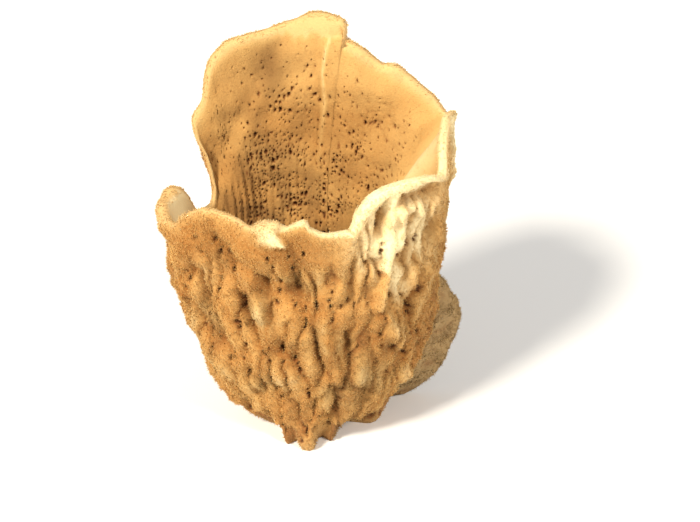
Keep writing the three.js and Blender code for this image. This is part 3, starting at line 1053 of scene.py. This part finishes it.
def body_material():
    """Clouds of tan; brown where it is pitted or stained, both partly painted shade; painted
    shade on the skin under the fibres; pale where the pale note says, much of it painted light;
    and paler towards the tips of the fibres, a painted highlight."""
    n = Nodes("sponge_skin")
    clouds = n.ramp(n.noise(38, 2), 0.35, 0.68)
    colour = n.blend(n.note("inside"), n.blend(clouds, AMBER, GOLD),
                     n.blend(clouds, HONEY, TAN))
    speckle = n.ramp(n.noise(900, 2), 0.52, 0.72)
    dusting = n.ramp(n.note("inside"), 0.0, 1.0, 0.35, 0.15)
    colour = n.blend(n.times(speckle, dusting), colour, STRAW)
    grains = n.ramp(n.noise(620, 3), 0.56, 0.7)
    colour = n.blend(n.times(grains, 0.3), colour, BROWN)
    # Painted shade: the skin under the fibres, where the tip note is 0, is darkened towards
    # brown.
    under = n.ramp(n.note("tip"), 0.0, TIP_FROM, 0.45, 0.0)
    colour = n.blend(under, colour, BROWN)
    # Brown of stains, with painted shade and a painted shadow, from the stain_and_shade note.
    colour = n.blend(n.times(n.note("stain_and_shade"), 0.85), colour, UMBER)
    # Painted shade: the ear is greyed towards olive.
    colour = n.blend(n.times(n.note("ear"), 0.75), colour, OLIVE)
    pale = n.note("pale")
    # Paler towards cream where the pale note says: the rim's own paleness, and painted
    # sunlight, light and highlights.
    colour = n.blend(n.times(pale, 0.95), colour, n.blend(n.ramp(pale, 0.2, 0.7), STRAW, CREAM))
    pit = n.note("pit")
    # Brown in creases and furrows and dark in pits: partly the sponge's own colour, partly
    # painted shade.
    colour = n.blend(n.times(n.ramp(pit, 0.1, 0.75), 0.85), colour, BROWN)
    colour = n.blend(n.times(n.ramp(pit, 0.6, 1.0), 0.85), colour, DARK)
    clean = n.times(n.ramp(n.note("stain_and_shade"), 0.0, 1.0, 1.0, 0.3),
                    n.ramp(n.note("inside"), 0.0, 1.0, 1.0, 0.4))
    # Painted highlight: paler towards each fibre's tip, at a random strength for each fibre.
    fuzz = n.times(n.ramp(n.note("tip"), TIP_FROM, 1.0, 0.0, 0.85), clean)
    colour = n.blend(fuzz, colour, n.blend(pale, STRAW, CREAM))
    n.link(colour, n.shader.inputs["Base Color"])
    bump = n.add("ShaderNodeBump")
    bump.inputs["Strength"].default_value = 0.6
    bump.inputs["Distance"].default_value = 0.0006
    n.link(n.noise(1100, 3), bump.inputs["Height"])
    n.link(bump.outputs["Normal"], n.shader.inputs["Normal"])
    return n.material


def floor_material():
    n = Nodes("floor")
    n.shader.inputs["Base Color"].default_value = (0.9, 0.9, 0.9, 1.0)
    n.shader.inputs["Sheen Weight"].default_value = 0.0
    return n.material


# ---- the set ----
CAMERA_FAR, CAMERA_LENS, CAMERA_TILT = 1.2, 112.0, 30.0  # metres, mm, degrees
CAMERA_AIM = (22.0, 0.0, 97.0)
FLOOR_REACH = 3000.0
WORLD_STRENGTH = 0.42

# The lights: name, azimuth, elevation, strength, spread in degrees and colour.
SUNS = (
    ("key", -132, 41, 4.7, 14, (1.0, 0.93, 0.8)),
    ("second", -50, 38, 1.7, 12, (1.0, 0.95, 0.86)),
)


def add_camera():
    camera = bpy.data.cameras.new("camera")
    camera.sensor_width = 36.0
    camera.lens = CAMERA_LENS
    holder = placed("camera", camera)
    aim = Vector(CAMERA_AIM) * MM
    tilt = math.radians(CAMERA_TILT)
    holder.location = aim + Vector((0.0, -math.cos(tilt), math.sin(tilt))) * CAMERA_FAR
    holder.rotation_euler = (math.pi / 2 - tilt, 0.0, 0.0)
    bpy.context.scene.camera = holder


def add_sun(name, azimuth, elevation, strength, spread, colour):
    light = bpy.data.lights.new(name, "SUN")
    light.energy, light.angle, light.color = strength, math.radians(spread), colour
    holder = placed(name, light)
    a, e = math.radians(azimuth), math.radians(elevation)
    towards = Vector((math.cos(e) * math.cos(a), math.cos(e) * math.sin(a), math.sin(e)))
    holder.rotation_euler = towards.to_track_quat("Z", "Y").to_euler()


def add_floor():
    corners = FLOOR_REACH * np.array([(-1, -1, 0), (1, -1, 0), (1, 1, 0), (-1, 1, 0)], float)
    floor = new_mesh("floor", corners, np.array([(0, 1, 2), (0, 2, 3)]))
    floor.data.materials.append(floor_material())


def add_set():
    world = bpy.data.worlds.new("world")
    world.use_nodes = True
    background = world.node_tree.nodes["Background"]
    background.inputs["Color"].default_value = (1.0, 1.0, 1.0, 1.0)
    background.inputs["Strength"].default_value = WORLD_STRENGTH
    bpy.context.scene.world = world
    bpy.context.scene.view_settings.view_transform = "Standard"
    add_floor()
    add_camera()
    for sun in SUNS:
        add_sun(*sun)


# ---- the whole ----

def add_fibres(skin, notes, material):
    """Three pieces of fibres on the outside and one on the inside."""
    normals = skin_normals(skin)
    height = skin[..., 2]
    outside = (1.0 - notes["inside"]) * (height > 0.6)
    groups = (
        ("fibres_outside", outside * (1.0 - 0.9 * notes["pit"]), 3, (0.9, 2.1)),
        ("fibres_inside", notes["inside"] * (1.0 - notes["pit"]), 1, (0.35, 0.8)),
    )
    for name, density, pieces, (short, long) in groups:
        for number in range(pieces):
            roots, outward, picked = fibre_roots(skin, normals, density, FIBRES_A_PIECE)
            lengths = rng.uniform(short, long, FIBRES_A_PIECE)
            radius = rng.uniform(0.14, 0.14 + 0.08 * long, FIBRES_A_PIECE)
            kept = {key: values.ravel()[picked] for key, values in notes.items()}
            lengths *= 1.0 - 0.55 * kept["pale"]
            piece = fibre_piece(f"{name}_{number + 1}", roots, outward, lengths, radius,
                                kept)
            piece.data.materials.append(material)
            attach(piece, "root")


def build():
    skin, notes = relieved_skin()
    material = body_material()
    body = body_piece(skin, notes)
    body.data.materials.append(material)
    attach(body, "root")
    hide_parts("sponge")
    add_fibres(skin, notes, material)


build()
add_set()
